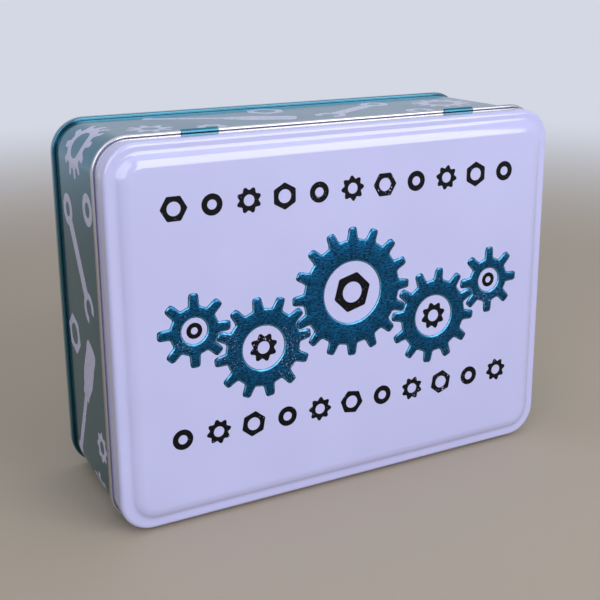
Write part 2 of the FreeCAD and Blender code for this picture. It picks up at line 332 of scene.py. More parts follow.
class RoundPath:
    """Stations round a rounded rectangle, anticlockwise as the lid is seen, from the lower right corner.

    A station is a corner's centre or a place on a straight side, with the heading of its outward normal.
    """

    def __init__(self, places, steps=18):
        signs, fixed, heading = [], [], []
        for quarter in range(4):
            turn = polar(1.0, np.radians(np.linspace(-90, 0, steps + 1) + quarter * 90))
            corner, out = np.sign(turn[steps // 2]), np.round(turn[-1])
            along = np.array([-out[1], out[0]])
            side = places[quarter % 2]
            straight = np.tile(out, (len(side), 1))
            signs += [np.tile(corner, (steps + 1, 1)), straight]
            fixed += [np.zeros_like(turn), np.outer(side, along)]
            heading += [turn, straight]
        self.signs, self.fixed, self.heading = (np.concatenate(part) for part in (signs, fixed, heading))

    def carried(self, rows, half, radii):
        """Rows of a section at every station: the corner's centre plus the corner radius times the heading.

        The result is in the tin's own place, with an axis for rows, one for stations and one for x, y, z.
        """
        inset = rows[:, 0] + radii
        centre = self.signs * (half - inset[:, None, None]) + self.fixed
        plan = centre + radii[:, None, None] * self.heading
        depth = np.broadcast_to(FOOT_PLANE - rows[:, 1][:, None], plan.shape[:2])
        return np.stack([plan[..., 0], depth, plan[..., 1] + MIDDLE_HEIGHT], axis=-1)

    def spans_on_rear(self, middle, half_width):
        """Which stretches between stations lie on the rear side, in two like gaps about its middle."""
        following = np.roll(self.fixed, -1, axis=0)
        place = np.abs((self.fixed[:, 0] + following[:, 0]) / 2)
        rear = (self.heading[:, 1] == 1) & (np.roll(self.heading[:, 1], -1) == 1)
        return rear & (np.abs(place - middle) < half_width)


def quads(low, high, stations, flipped=False):
    """Quads between rows low and high of a grid that closes on itself along its stations."""
    here = np.arange(stations)
    following = np.roll(here, -1)
    low, high = np.atleast_1d(low)[:, None] * stations, np.atleast_1d(high)[:, None] * stations
    corners = np.stack([low + here, high + here, high + following, low + following], axis=-1)
    return corners[..., ::-1] if flipped else corners


def sheet_faces(count, stations, panelled, cut=None, gaps=None, flipped=False):
    """Faces of a thin sheet whose section has count rows on each side, carried round the stations.

    Rows of the printed side come first, then those of the bare side in reverse, so the section is a loop.
    A panelled sheet is closed by two panels in its middle. Cut gives the rows of a gap in the sheet, which
    is open in the marked stretches and closed round its edges. Gives the faces and their sides, 0 printed.
    """
    loop = np.arange(count * 2 - 1 if panelled else count * 2)
    corners = quads(loop, (loop + 1) % (count * 2), stations, flipped)
    keep = np.ones(corners.shape[:2], bool)
    sides = np.repeat((loop >= count - 1).astype(int)[:, None], stations, axis=1)
    extra = []
    if cut:
        first, last = cut
        opposite = count * 2 - 1
        ends_open = last == count - 1
        dropped = (loop >= first) & (loop < last)
        dropped |= (loop >= opposite - last) & (loop < opposite - first)
        dropped |= ends_open & (loop == count - 1)
        keep &= ~(dropped[:, None] & gaps)
        extra.append(quads(first, opposite - first, stations)[0][gaps])
        if not ends_open:
            extra.append(quads(opposite - last, last, stations)[0][gaps])
        row = np.arange(first, last)
        ring = np.stack([row, row + 1, opposite - row - 1, opposite - row], axis=-1) * stations
        starts = np.flatnonzero(gaps & ~np.roll(gaps, 1))
        stops = (np.flatnonzero(gaps & ~np.roll(gaps, -1)) + 1) % stations
        extra.append((ring[None] + starts[:, None, None]).reshape(-1, 4))
        extra.append((ring[None] + stops[:, None, None]).reshape(-1, 4)[:, ::-1])
    faces = corners[keep].tolist()
    marks = sides[keep].tolist()
    for run in extra:
        faces += run.tolist()
        marks += [1] * len(run)
    if panelled:
        rim = np.arange(stations)
        front = rim if not flipped else rim[::-1]
        faces += [front.tolist(), (front[::-1] + (count * 2 - 1) * stations).tolist()]
        marks += [0, 1]
    return faces, marks


def finish_piece(context, name, points, faces, finishes, body, slot, marks=None, sharp=32):
    """Puts points and faces into a mesh object with the named finishes, which rides on a body."""
    mesh = bpy.data.meshes.new(name)
    mesh.from_pydata(points.reshape(-1, 3).tolist(), [], faces)
    for finish in finishes:
        mesh.materials.append(finish_named(context, finish))
    if marks is not None:
        mesh.polygons.foreach_set("material_index", np.array(marks, np.int32))
    mesh.shade_smooth()
    mesh.set_sharp_from_angle(angle=math.radians(sharp))
    if mesh.validate():
        raise RuntimeError(f"{name} has faulty faces")
    piece = bpy.data.objects.new(name, mesh)
    context.scene.collection.objects.link(piece)
    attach(piece, body)
    return piece


def lid_half(sizes):
    """Half of the lid's outline along x and along z."""
    return np.array([LID_HIGH.x - sizes.reach, (LID_HIGH.z - LID_LOW.z) / 2 - sizes.reach])


def rear_places(hinge, half):
    """Stations along the long sides, with both edges of each notch, and along the short sides."""
    middle, reach = hinge.tongue_spacing / 2, hinge.tongue_width / 2 + hinge.notch_margin
    inner, outer = middle - reach, middle + reach
    long_side = np.array([-outer, -inner, -inner / 2, 0, inner / 2, inner, outer])
    return np.array([-half[1], 0, half[1]]) / 2, long_side


def carry_sheet(context, side, panelled, flipped=False, wider=0.0):
    """Carries a sheet's section round the tin, as a loop of its printed side and then its bare one.

    The corner radius shrinks with the inset, and grows by the wider amount across the lid's ledge.
    Gives the points, the faces and their sides.
    """
    sizes, hinge = context.scene.tin_sheet, context.scene.tin_hinge
    front, cut = side(sizes, hinge, 0.0)
    back, _ = side(sizes, hinge, sizes.sheet)
    loop = np.concatenate([front, back[::-1]])
    inset, ledge = loop[:, 0], sizes.ledge_width - sizes.shoulder_radius
    radii = sizes.corner_radius - inset + wider * np.clip((inset - sizes.shoulder_radius) / ledge, 0, 1)
    half = lid_half(sizes)
    path = RoundPath(rear_places(hinge, half))
    points = path.carried(loop, half, radii)
    gaps = path.spans_on_rear(hinge.tongue_spacing / 2, hinge.tongue_width / 2 + hinge.notch_margin)
    return points, *sheet_faces(len(front), points.shape[1], panelled, cut, gaps, flipped)


# Motifs, as closed outlines about their middle.


def turned(points, angle):
    """Points turned about the middle by an angle in degrees."""
    cosine, sine = math.cos(math.radians(angle)), math.sin(math.radians(angle))
    return points @ np.array([[cosine, sine], [-sine, cosine]])


def circle(radius, steps=64):
    """A round outline, anticlockwise."""
    return polar(radius, full_turn(steps))


def cog_outline(radius, teeth, depth, inset=0.0, steps=26):
    """A cog: its radius swings in and out by the tooth depth as a softened square wave of the angle.

    Drawn in by an inset, the tips and roots move in and the teeth grow narrower by as much on each side.
    """
    half_tooth, steepness = 1.41, 3.2
    angles = full_turn(teeth * steps)
    tooth = math.cos(half_tooth - inset * teeth / radius)
    wave, root, tip = (np.tanh(steepness * (swing - tooth)) for swing in (np.cos(teeth * angles), -1, 1))
    return polar(radius - inset + depth * (2 * (wave - root) / (tip - root) - 1), angles)


def nut_outline(radius, steps=96):
    """A hexagon with eased corners: the radius is the flats' distance over a power mean of six cosines."""
    power, half_side = 40, 30
    angles = full_turn(steps)
    facing = np.clip(np.cos(angles[:, None] - np.radians(np.arange(6) * 60 + half_side)), 0, None)
    flats = radius * math.cos(math.radians(half_side))
    return polar(flats / np.sum(facing ** power, axis=1) ** (1 / power), angles)


def star_outline(radius, steps=128):
    """A washer with round lobes: the radius swings with the cosine of so many times the angle."""
    lobes, swing = 8, 0.12
    angles = full_turn(steps)
    return polar(radius * (1 - swing + swing * np.cos(lobes * angles)), angles)


def embossed_cog(radius, teeth, depth, hole, edge):
    """Rows of an embossed cog from its hole to its teeth, and their heights as shares of the full raise.

    Over the width of its edge the height rises as three squares less two cubes of the way in.
    """
    shares, foot = np.linspace(0, 1, 9), 0.06
    heights = foot + (1 - foot) * shares ** 2 * (3 - 2 * shares)
    outer = [cog_outline(radius, teeth, depth, share * edge) for share in shares[::-1]]
    inner = [circle(hole + share * edge, len(outer[0])) for share in shares]
    return np.stack(inner + outer), np.concatenate([heights, heights[::-1]])


def between(first, last, steps):
    """Rows from a first to a last one, evenly divided so that a motif follows a bent surface."""
    shares = np.linspace(0, 1, steps + 1)[:, None, None]
    return first + shares * (last - first)


# A screwdriver's shares of its length, and its half widths there.
DRIVER_PROFILE = (
    (0, 0), (0.004, 0.06), (0.02, 0.085), (0.06, 0.095), (0.12, 0.088), (0.2, 0.095), (0.3, 0.095),
    (0.37, 0.075), (0.4, 0.06), (0.42, 0.062), (0.46, 0.058), (0.466, 0.03), (0.93, 0.03), (0.95, 0.045),
    (0.975, 0.045), (0.996, 0.036), (1, 0),
)


def driver_rows(reach):
    """A screwdriver lying along x: half widths at shares of its length, mirrored across."""
    shares, widths = np.transpose(DRIVER_PROFILE)
    places = np.union1d(shares, np.linspace(0, 1, 65))
    along, half = (places - 0.5) * reach, np.interp(places, shares, widths) * reach
    return np.stack([np.column_stack([along, half]), np.column_stack([along, -half])])


def sector_rows(middle, inner, outer, start, end, steps=48):
    """A stretch of a ring about a middle, from an inner to an outer radius."""
    return np.stack([arc(middle, radius, start, end, steps) for radius in (inner, outer)])


def shank_rows(first, last, radius, half_width, steps=24):
    """A bar between round heads on the x axis: from edge to edge, its ends hollowed to fit the heads."""
    across = np.linspace(-half_width, half_width, steps)
    hollow = np.sqrt(radius ** 2 - across ** 2)
    return np.stack([np.column_stack([first + hollow, across]), np.column_stack([last - hollow, across])])


class Motifs:
    """Gathers flat motifs that stand out from a surface and reach into it, as one closed mesh."""

    def __init__(self, surface, raised, sink, steps=1):
        self.surface, self.raised, self.sink, self.steps = surface, raised, sink, steps
        self.points, self.faces, self.count = [], [], 0

    def add(self, rows, heights, place, angle=0.0, closed=True):
        """One motif: its top rows, then its foot below the outer and the inner row, closed as a loop."""
        rows = turned(rows, angle) + np.array(place)
        loop = np.concatenate([rows, rows[-1:], rows[:1]])
        level = np.concatenate([heights * self.raised, [-self.sink, -self.sink]])
        stations = loop.shape[1]
        self.points.append(self.surface(loop[..., 0], loop[..., 1], level[:, None]).reshape(-1, 3))
        row = np.arange(len(loop))
        faces = quads(row, np.roll(row, -1), stations)
        if closed:
            ends = []
        else:
            faces = faces[:, :-1]
            start = row * stations + self.count
            ends = [start[::-1].tolist(), (start + stations - 1).tolist()]
        self.faces += (faces.reshape(-1, 4) + self.count).tolist() + ends
        self.count += loop.shape[0] * stations

    def ring(self, outline, hole, place, angle=0.0):
        rows = between(circle(hole, len(outline)), outline, self.steps)
        self.add(rows, np.ones(len(rows)), place, angle)

    def strip(self, rows, place, angle=0.0):
        rows = between(rows[0], rows[1], self.steps)
        self.add(rows, np.ones(len(rows)), place, angle, closed=False)

    def piece(self, context, name, finish, body, slot, **settings):
        points = np.concatenate(self.points)
        return finish_piece(context, name, points, self.faces, [finish], body, slot, **settings)


def lid_surface(across, up, out):
    """A place on the lid's panel: across and up from its middle, and out from its face."""
    x, z, out = np.broadcast_arrays(across, up + MIDDLE_HEIGHT, out)
    return np.stack([x, FOOT_PLANE - PANEL_LEVEL - out, z], axis=-1)


def wall_surface(sizes):
    """Gives the map from (run round the wall, level, out from its face) to a place, and the wall's girth.

    The run starts at the middle of the rear side and goes towards the left end. The straight sides and the
    corner arcs follow each other, so a place is a corner's centre plus its radius along the heading.
    """
    half = lid_half(sizes) - sizes.corner_radius
    radius = sizes.corner_radius - sizes.wall_inset
    number = np.arange(9)
    lengths = np.full(len(number), radius * math.pi / 2)
    lengths[::2] = half[[0, 1, 0, 1, 0]] * (1, 2, 2, 2, 1)
    ends = np.cumsum(lengths)
    starts = ends - lengths
    headings, bends = np.radians(90 + 90 * (number // 2)), number % 2
    x = half[0] * np.array([0, -1, -1, -1, -1, 1, 1, 1, 1])
    z = half[1] * np.array([1, 1, 1, -1, -1, -1, -1, 1, 1])

    def place(run, level, out):
        run = np.mod(run, ends[-1])
        part = np.minimum(np.searchsorted(ends, run, side="right"), len(ends) - 1)
        along = run - starts[part]
        heading = headings[part] + bends[part] * along / radius
        straight = np.where(bends[part] == 0, along, 0)
        reach = radius + out
        flat_x = x[part] + reach * np.cos(heading) - straight * np.sin(heading)
        flat_z = z[part] + reach * np.sin(heading) + straight * np.cos(heading)
        return np.stack(np.broadcast_arrays(flat_x, FOOT_PLANE - level, flat_z + MIDDLE_HEIGHT), axis=-1)

    return place, ends[-1]


# Shader nodes.

# The values of noise between which clouds go from one look to the other.
CLOUDS = (0.3, 0.7)


def fill(tree, socket, value):
    """Links an input to a socket, or sets it to a value."""
    if isinstance(value, bpy.types.NodeSocket):
        tree.links.new(value, socket)
    else:
        socket.default_value = value


def add_node(tree, kind, inputs=None, **settings):
    """Adds a node with its settings, and fills its inputs."""
    node = tree.nodes.new(kind)
    for name, value in settings.items():
        setattr(node, name, value)
    for name, value in (inputs or {}).items():
        fill(tree, node.inputs[name], value)
    return node


def calculate(tree, operation, first, second=0.0):
    return add_node(tree, "ShaderNodeMath", {0: first, 1: second}, operation=operation).outputs[0]


def spread(tree, value, low, high, to_low=0.0, to_high=1.0):
    inputs = {"Value": value, "From Min": low, "From Max": high, "To Min": to_low, "To Max": to_high}
    return add_node(tree, "ShaderNodeMapRange", inputs, interpolation_type="SMOOTHSTEP").outputs["Result"]


def noise(tree, vector, scale, detail=2.0, roughness=0.5):
    inputs = {"Vector": vector, "Scale": scale, "Detail": detail, "Roughness": roughness}
    return add_node(tree, "ShaderNodeTexNoise", inputs).outputs["Fac"]


def new_group(name, inputs, output):
    """A shader group with a vector input, number inputs with their defaults, and one number output.

    Gives its tree, the sockets of its inputs and the socket of its output.
    """
    tree = bpy.data.node_groups.new(name, "ShaderNodeTree")
    tree.interface.new_socket("Vector", in_out="INPUT", socket_type="NodeSocketVector")
    for label, value in inputs.items():
        socket = tree.interface.new_socket(label, in_out="INPUT", socket_type="NodeSocketFloat")
        socket.default_value = value
    tree.interface.new_socket(output, in_out="OUTPUT", socket_type="NodeSocketFloat")
    result = tree.nodes.new("NodeGroupOutput").inputs[output]
    return tree, tree.nodes.new("NodeGroupInput").outputs, result


def sheet_ripple():
    """Height of pressed sheet: a long shallow wave and the fine peel of its coating, in metres."""
    defaults = {"Wave Scale": 15.0, "Wave Depth": 5e-5, "Peel Scale": 900.0, "Peel Depth": 6e-7}
    tree, given, result = new_group("sheet_ripple", defaults, "Height")
    heights = []
    for part in ("Wave", "Peel"):
        shape = noise(tree, given["Vector"], given[f"{part} Scale"], 1.0)
        heights.append(calculate(tree, "MULTIPLY", shape, given[f"{part} Depth"]))
    tree.links.new(calculate(tree, "ADD", *heights), result)
    return tree


def print_flecks():
    """Mask of small bare flecks in a print, which gather in patches."""
    patch_from, patch_to, bare_from, bare_to = 0.38, 0.7, 0.74, 0.79
    defaults = {"Fleck Scale": 1300.0, "Patch Scale": 45.0, "Amount": 0.3}
    tree, given, result = new_group("print_flecks", defaults, "Mask")
    fleck = noise(tree, given["Vector"], given["Fleck Scale"], roughness=0.6)
    patch = spread(tree, noise(tree, given["Vector"], given["Patch Scale"]), patch_from, patch_to)
    total = calculate(tree, "ADD", fleck, calculate(tree, "MULTIPLY", patch, given["Amount"]))
    tree.links.new(spread(tree, total, bare_from, bare_to), result)
    return tree


def drawn_grain():
    """Streaks of rolled or drawn metal: noise on stretched coordinates, from 0 to 1."""
    defaults = {"Scale": 900.0, "Stretch X": 0.1, "Stretch Y": 1.0, "Stretch Z": 1.0, "Contrast": 0.25}
    tree, given, result = new_group("drawn_grain", defaults, "Grain")
    stretch = add_node(tree, "ShaderNodeCombineXYZ", {axis: given[f"Stretch {axis}"] for axis in "XYZ"})
    factors = {0: given["Vector"], 1: stretch.outputs[0]}
    scaled = add_node(tree, "ShaderNodeVectorMath", factors, operation="MULTIPLY").outputs[0]
    streaks = noise(tree, scaled, given["Scale"], 3.0, 0.6)
    low = calculate(tree, "SUBTRACT", 0.5, given["Contrast"])
    high = calculate(tree, "ADD", 0.5, given["Contrast"])
    tree.links.new(spread(tree, streaks, low, high), result)
    return tree


def handling_haze():
    """Roughness of a handled surface: soft clouds between a low and a high value."""
    defaults = {"Scale": 30.0, "Low": 0.2, "High": 0.3}
    tree, given, result = new_group("handling_haze", defaults, "Roughness")
    clouds = noise(tree, given["Vector"], given["Scale"], 3.0, 0.55)
    tree.links.new(spread(tree, clouds, *CLOUDS, given["Low"], given["High"]), result)
    return tree


GROUPS = {maker.__name__: maker for maker in (sheet_ripple, print_flecks, drawn_grain, handling_haze)}


class Finish:
    """A material with one Principled shader, and the shared groups placed in it on Object coordinates."""

    def __init__(self, name):
        self.material = bpy.data.materials.new(name)
        self.material.use_nodes = True
        self.tree = self.material.node_tree
        self.shader = self.tree.nodes["Principled BSDF"]
        coordinates = self.tree.nodes.new("ShaderNodeTexCoord").outputs
        self.place, self.normal = coordinates["Object"], coordinates["Normal"]

    def group(self, name, **values):
        """Places a shared group and gives its output. Values are named with underscores for spaces."""
        tree = bpy.data.node_groups.get(name) or GROUPS[name]()
        inputs = {label.replace("_", " "): value for label, value in values.items()}
        inputs["Vector"] = self.place
        return add_node(self.tree, "ShaderNodeGroup", inputs, node_tree=tree).outputs[0]

    def put(self, **values):
        """Fills shader inputs, named with underscores for spaces."""
        for label, value in values.items():
            fill(self.tree, self.shader.inputs[label.replace("_", " ")], value)

    def relief(self, height):
        bump = add_node(self.tree, "ShaderNodeBump", {"Height": height, "Strength": 1.0, "Distance": 1.0})
        self.put(Normal=bump.outputs["Normal"])

    def blend(self, share, first, second):
        """Goes from a first to a second colour with a mask. The second one has no alpha."""
        inputs = {0: share, 6: first, 7: (*second, 1.0)}
        return add_node(self.tree, "ShaderNodeMix", inputs, data_type="RGBA").outputs[2]

    def shaded(self, colour, dark, share):
        """A colour that goes to a darker share of itself where the mask is 1."""
        return self.blend(share, (*colour, 1.0), [part * dark for part in colour])

    def from_grain(self, grain, low, high):
        """A roughness that goes from low to high with the grain."""
        return spread(self.tree, grain, 0.0, 1.0, low, high)


def lilac_lacquer(finish, colours):
    """Lacquer with faint clouds in its colour and gloss, under a clear coat."""
    clouds = spread(finish.tree, noise(finish.tree, finish.place, 22.0), *CLOUDS)
    finish.put(
        Base_Color=finish.shaded(colours.lacquer, 0.965, clouds),
        Roughness=finish.group("handling_haze", Scale=26.0, Low=0.14, High=0.2),
        Coat_Weight=1.0,
        Coat_Roughness=0.06,
    )
    finish.relief(finish.group("sheet_ripple", Wave_Depth=4e-5, Peel_Scale=1000.0, Peel_Depth=6e-7))


def bare_tin(finish, colours):
    """Tinplate with the streaks of its rolling."""
    tree = finish.tree
    grain = finish.group("drawn_grain", Scale=1400.0, Stretch_X=0.06, Contrast=0.22)
    finish.put(
        Base_Color=finish.shaded(colours.tin, 0.9, grain),
        Metallic=1.0,
        Roughness=finish.from_grain(grain, 0.14, 0.22),
    )
    ripple = finish.group("sheet_ripple", Wave_Depth=4e-5, Peel_Depth=4e-7)
    finish.relief(calculate(tree, "ADD", ripple, calculate(tree, "MULTIPLY", grain, 4e-7)))


def teal_print(finish, colours, low, high, coat):
    """Transparent teal over tin: tinted metal with a faint grain."""
    grain = finish.group("drawn_grain", Scale=1500.0, Stretch_X=0.25, Stretch_Z=0.25, Contrast=0.3)
    finish.put(
        Base_Color=finish.shaded(colours.teal, 0.86, grain),
        Metallic=1.0,
        Roughness=finish.group("handling_haze", Scale=24.0, Low=low, High=high),
        Specular_Tint=(0.92, 0.97, 1.0, 1.0),
        Coat_Weight=coat,
        Coat_Roughness=0.1,
    )
    finish.relief(finish.group("sheet_ripple", Wave_Depth=5e-5, Peel_Depth=3e-7))


def wall_teal(finish, colours):
    teal_print(finish, colours, 0.13, 0.19, 0.0)


def base_teal(finish, colours):
    teal_print(finish, colours, 0.12, 0.17, 0.6)


def teal_foil(finish, colours):
    """Hot foil with a crinkled grain, with a painted highlight on its edges: a lighter colour on every
    sloping edge, and flecks that show the lacquer.
    """
    tree, highlight_from, highlight_to = finish.tree, 0.92, 0.78
    grain = finish.group("drawn_grain", Scale=1500.0, Stretch_X=0.45, Contrast=0.1)
    flecks = finish.group("print_flecks", Fleck_Scale=1500.0, Patch_Scale=52.0, Amount=0.13)
    facing = add_node(tree, "ShaderNodeSeparateXYZ", {0: finish.normal}).outputs["Y"]
    # Painted highlight: the edge mask is 1 where the normal turns away from the panel's outlook, on every
    # sloping edge, and there the foil takes a lighter colour in place of the glint of light.
    edge = spread(tree, calculate(tree, "ABSOLUTE", facing), highlight_from, highlight_to)
    painted_highlight_foil = finish.blend(edge, finish.shaded(colours.foil, 0.25, grain), colours.foil_edge_highlight)
    finish.put(
        Base_Color=finish.blend(flecks, painted_highlight_foil, colours.lacquer),
        Metallic=calculate(tree, "SUBTRACT", 1.0, flecks),
        Roughness=finish.from_grain(grain, 0.26, 0.38),
        Coat_Weight=0.2,
        Coat_Roughness=0.08,
    )
    finish.relief(calculate(tree, "MULTIPLY", grain, 2.6e-5))


def pale_ink(finish, colours):
    """Opaque ink on the wall, with flecks that show a dark teal."""
    flecks = finish.group("print_flecks", Fleck_Scale=1000.0, Patch_Scale=60.0, Amount=0.13)
    finish.put(
        Base_Color=finish.blend(flecks, (*colours.pale_ink, 1.0), [part / 2 for part in colours.teal]),
        Roughness=finish.group("handling_haze", Scale=40.0, Low=0.24, High=0.32),
        Coat_Weight=0.25,
        Coat_Roughness=0.05,
    )
    finish.relief(finish.group("sheet_ripple", Wave_Depth=5e-5, Peel_Depth=3e-7))


def black_ink(finish, colours):
    """Dull ink on the lid, with flecks that show the lacquer."""
    flecks = finish.group("print_flecks", Fleck_Scale=1200.0, Patch_Scale=70.0, Amount=0.1)
    finish.put(
        Base_Color=finish.blend(flecks, (*colours.black_ink, 1.0), colours.lacquer),
        Roughness=finish.group("handling_haze", Scale=60.0, Low=0.36, High=0.48),
        Specular_IOR_Level=0.12,
    )
    finish.relief(finish.group("sheet_ripple", Wave_Depth=4e-5, Peel_Depth=6e-7))


def drawn_steel(finish, colours):
    """Steel with streaks along the wire."""
    grain = finish.group("drawn_grain", Scale=4000.0, Stretch_X=0.03, Contrast=0.2)
    finish.put(
        Base_Color=finish.shaded(colours.steel, 0.75, grain),
        Metallic=1.0,
        Roughness=finish.from_grain(grain, 0.22, 0.36),
    )
    finish.relief(calculate(finish.tree, "MULTIPLY", grain, 6e-7))


FINISHES = (lilac_lacquer, bare_tin, wall_teal, base_teal, teal_foil, pale_ink, black_ink, drawn_steel)


def finish_named(context, name):
    """The material of that name, which is made when it is first asked for."""
    if name not in bpy.data.materials:
        maker = next(maker for maker in FINISHES if maker.__name__ == name)
        maker(Finish(name), context.scene.tin_colours)
    return bpy.data.materials[name]


# Operators, one for each piece or group of like pieces.


class TIN_OT_lid(Operator):
    """Presses the lid: its section carried round the tin, notched for the hinge tongues"""

    bl_idname = "tin.lid"
    bl_label = "Lid pressing"

    def execute(self, context):
        sizes = context.scene.tin_sheet
        wider = sizes.crease_radius + sizes.ledge_width - sizes.corner_radius
        points, faces, marks = carry_sheet(context, lid_side, True, wider=wider)
        finishes = ("lilac_lacquer", "bare_tin")
        lid = finish_piece(context, "lid_pressing", points, faces, finishes, "lid", "lid_lacquer", marks)
        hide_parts("lid_shell")
        return {"FINISHED"}


class TIN_OT_wall(Operator):
    """Bends the wall: its section carried round the tin, with a slot behind each hinge tongue"""

    bl_idname = "tin.wall"
    bl_label = "Wall"

    def execute(self, context):
        points, faces, marks = carry_sheet(context, wall_side, False)
        _, window = wall_side(context.scene.tin_sheet, context.scene.tin_hinge, 0.0)
        under_lid = np.max(faces, axis=1) < window[1] * points.shape[1]
        marks, finishes = np.where(under_lid, 1, marks), ("wall_teal", "bare_tin")
        wall = finish_piece(
            context, "wall_band", points, faces, finishes, "tin_body", "printed_wall", marks
        )
        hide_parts("body_wall")
        return {"FINISHED"}


class TIN_OT_base(Operator):
    """Seams the base: its section carried round the tin as the foot ring"""

    bl_idname = "tin.base"
    bl_label = "Base and foot ring"

    def execute(self, context):
        points, faces, marks = carry_sheet(context, base_side, True, flipped=True)
        finishes = ("base_teal", "bare_tin")
        base = finish_piece(
            context, "base_and_foot", points, faces, finishes, "tin_body", "base_lacquer", marks
        )
        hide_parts("base_panel")
        return {"FINISHED"}


class TIN_OT_hinge(Operator):
    """Makes the hinge: the wire in the rear curl and the two tongues round it"""

    bl_idname = "tin.hinge"
    bl_label = "Hinge wire and tongues"

    def execute(self, context):
        sizes, hinge = context.scene.tin_sheet, context.scene.tin_hinge
        self.make_wire(context, hinge)
        self.make_tongues(context, sizes, hinge)
        return {"FINISHED"}

    def make_wire(self, context, hinge):
        """The wire: a circle carried along x, drawn in to a rounded end and closed at both ends."""
        ease = hinge.wire_radius / 3
        shares = np.sin(np.radians(np.linspace(0, 90, 6)))
        along = np.concatenate([WIRE_LOW.x + ease * (1 - shares[::-1]), WIRE_HIGH.x - ease * (1 - shares)])
        drop = ease * (1 - np.sqrt(1 - shares ** 2))[::-1]
        radii = hinge.wire_radius - np.concatenate([drop, drop[::-1]])
        turn = full_turn(28)
        y = (WIRE_LOW.y + WIRE_HIGH.y) / 2 + radii[:, None] * np.cos(turn)
        z = (WIRE_LOW.z + WIRE_HIGH.z) / 2 + radii[:, None] * np.sin(turn)
        points = np.stack(np.broadcast_arrays(along[:, None], y, z), axis=-1)
        rows, around = points.shape[:2]
        row, rim = np.arange(rows - 1), np.arange(around)
        faces = quads(row, row + 1, around, flipped=True).reshape(-1, 4).tolist()
        faces += [rim[::-1].tolist(), (rim + (rows - 1) * around).tolist()]
        wire = finish_piece(context, "hinge_wire_bar", points, faces, ["drawn_steel"], "lid", "wire_steel")
        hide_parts("hinge_wire")

    def make_tongues(self, context, sizes, hinge):
        """The tongues: a hooked section carried along x from one edge to the other."""
        front, back = tongue_side(sizes, hinge, True), tongue_side(sizes, hinge, False)
        loop = np.concatenate([front, back[::-1]])
        count, rows = len(front), len(loop)
        middles = np.array([-1, 1]) * hinge.tongue_spacing / 2
        edges = np.array([-1, 1]) * hinge.tongue_width / 2
        x = (middles[:, None] + edges)[:, None, :]
        y = (FOOT_PLANE - loop[:, 1])[None, :, None]
        z = (lid_half(sizes)[1] + MIDDLE_HEIGHT - loop[:, 0])[None, :, None]
        points = np.stack(np.broadcast_arrays(x, y, z), axis=-1)
        row = np.arange(rows)
        following = np.roll(row, -1)
        skin = np.stack([row * 2 + 1, following * 2 + 1, following * 2, row * 2], axis=-1)
        pair = np.arange(count - 1)
        cap = np.stack([pair, pair + 1, rows - 2 - pair, rows - 1 - pair], axis=-1) * 2
        one = np.concatenate([skin, cap, cap[:, ::-1] + 1])
        faces = np.concatenate([one, one + rows * 2]).tolist()
        bare = np.concatenate([row >= count - 1, np.ones(len(cap) * 2, bool)])
        marks, finishes = np.tile(bare, 2), ("wall_teal", "bare_tin")
        tongues = finish_piece(
            context, "hinge_tongues", points, faces, finishes, "tin_body", "printed_wall", marks
        )
        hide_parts("body_wall")


# The lid's cogs, from the middle one out: their teeth, and the radii of their holes in millimetres.
COG_TEETH = (16, 12, 8)
COG_HOLES = (13.0, 9.0, 5.2)


def cog_train(sizes):
    """Place, teeth, turn and hole of each cog: the middle one, and a large and a small one to each side.

    Each link leaves along a tooth of one cog and ends in a gap of the next, so that the teeth mesh.
    """
    middle, link = np.array([0.0, 8.0]) * MM, 22.5
    holes, teeth = np.array(COG_HOLES) * MM, np.array(COG_TEETH)
    reach = (teeth[:-1] + teeth[1:]) / 2 * sizes.cog_module
    down, up = polar(reach, np.radians([-link, link]))
    cogs = [(middle, COG_TEETH[0], 0.0, holes[0])]
    for side in (1, -1):
        second = middle + down * (side, 1)
        third = second + up * (side, 1)
        phase = link if side > 0 else 180 - link
        cogs += [(second, COG_TEETH[1], phase, holes[1]), (third, COG_TEETH[2], 0.0, holes[2])]
    return cogs


class TIN_OT_foil(Operator):
    """Raises the foil motifs on the lid: a train of cogs whose teeth mesh"""

    bl_idname = "tin.foil"
    bl_label = "Raised foil cogs"

    TOOTH_DEPTH = 0.8

    def execute(self, context):
        sizes = context.scene.tin_print
        motifs = Motifs(lid_surface, sizes.foil_raise, sizes.ink_sink)
        depth = sizes.cog_module * self.TOOTH_DEPTH
        for place, teeth, phase, hole in cog_train(sizes):
            rows, heights = embossed_cog(sizes.cog_module * teeth / 2, teeth, depth, hole, sizes.foil_edge)
            motifs.add(rows, heights, place, phase)
        motifs.piece(context, "foil_cogs", "teal_foil", "lid", "printed_wall", sharp=50)
        return {"FINISHED"}


class TIN_OT_ink(Operator):
    """Prints the small black motifs on the lid: nuts and washers in the cogs and in two rows"""

    bl_idname = "tin.ink"
    bl_label = "Black motifs"

    ROW_HEIGHTS = (51.0, -40.0)
    ROW_TURN = 10.0
    HUB_TURN = 15.0

    def execute(self, context):
        sizes = context.scene.tin_print
        motifs = Motifs(lid_surface, sizes.ink_raise, sizes.ink_sink)
        hubs = (
            (nut_outline(8.6 * MM), 4.4 * MM),
            (star_outline(6.0 * MM), 2.6 * MM),
            (circle(3.2 * MM), 1.4 * MM),
        )
        for place, teeth, _, _ in cog_train(sizes):
            motifs.ring(*hubs[COG_TEETH.index(teeth)], place, self.HUB_TURN)
        small = (
            (nut_outline(5.4 * MM), 2.7 * MM),
            (circle(4.2 * MM), 1.9 * MM),
            (star_outline(5.2 * MM), 2.2 * MM),
        )
        for row, height in enumerate(self.ROW_HEIGHTS):
            for number in range(sizes.border_count):
                across = (number - (sizes.border_count - 1) / 2) * sizes.border_pitch
                outline, hole = small[(number + row) % len(small)]
                motifs.ring(outline, hole, (across, height * MM), self.ROW_TURN * number)
        motifs.piece(context, "ink_motifs", "black_ink", "lid", "lid_lacquer")
        return {"FINISHED"}


